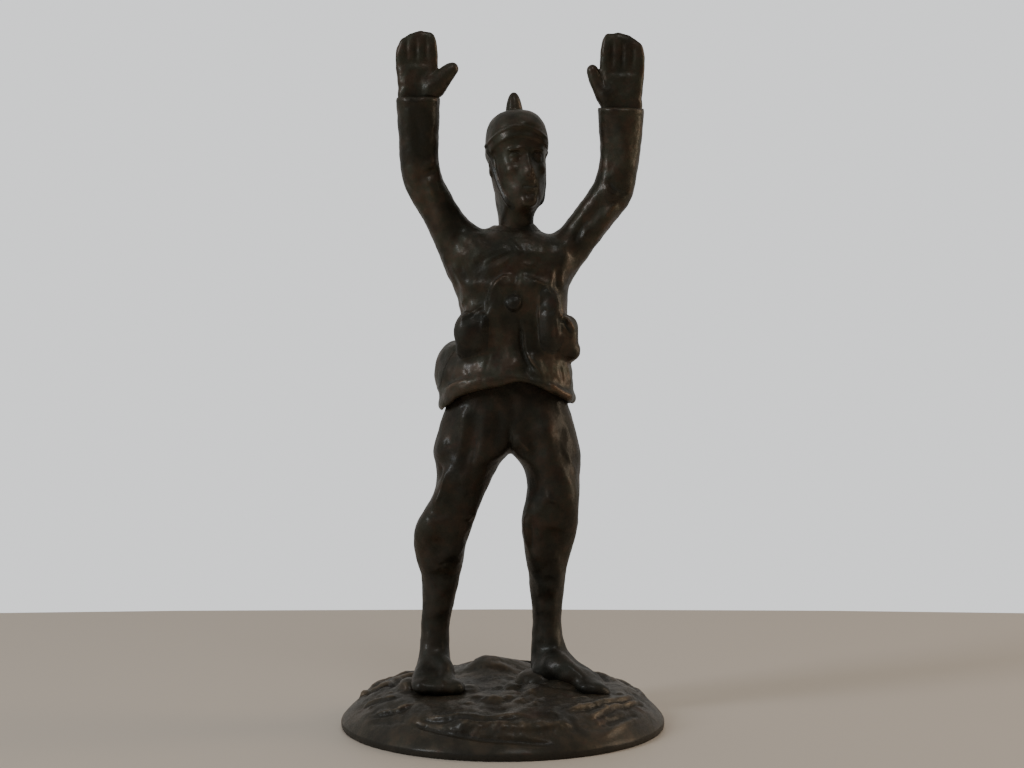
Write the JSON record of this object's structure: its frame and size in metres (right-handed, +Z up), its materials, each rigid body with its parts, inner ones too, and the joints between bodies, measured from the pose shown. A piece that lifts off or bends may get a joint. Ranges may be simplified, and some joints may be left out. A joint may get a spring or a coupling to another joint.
{
  "type": "toy soldier figure",
  "caption": "Cast metal figure of a soldier in a spiked helmet with both arms raised, standing on a round modelled base.",
  "frame": {"origin": "centre of the round base's underside, on the surface that the figure stands on", "axes": "+Z up, +X towards the figure's left hand, -Y the way the figure faces"},
  "size_m": [0.06, 0.06, 0.1276],
  "materials": {
    "bronze": "dark brown patina, semi-gloss, worn coppery on the ridges",
    "bronze_dark": "dark brown patina, semi-gloss",
    "bronze_earth": "dark brown patina with greenish grey dust in the recesses",
    "pin_steel": "plain drawn steel"
  },
  "bodies": {
    "root": {"base": "bronze_earth", "base_screws": "pin_steel", "base_washers": "pin_steel", "right_boot": "bronze_dark", "left_boot": "bronze_dark", "boot_dowels": "pin_steel", "right_trouser_leg": "bronze", "left_trouser_leg": "bronze", "leg_dowels": "pin_steel", "tunic": "bronze", "waist_belt": "bronze_dark", "belt_buckle": "bronze", "right_cartridge_pouch": "bronze_dark", "left_front_pouch": "bronze", "left_side_pouch": "bronze_dark", "bread_bag": "bronze", "collar": "bronze", "right_sleeve": "bronze", "left_sleeve": "bronze", "shoulder_dowels": "pin_steel", "right_hand": "bronze", "left_hand": "bronze", "wrist_dowels": "pin_steel", "head": "bronze", "neck_dowel": "pin_steel", "helmet_shell": "bronze", "helmet_band": "bronze_dark", "chin_strap": "bronze_dark", "helmet_spike": "bronze"}
  },
  "joints": []
}
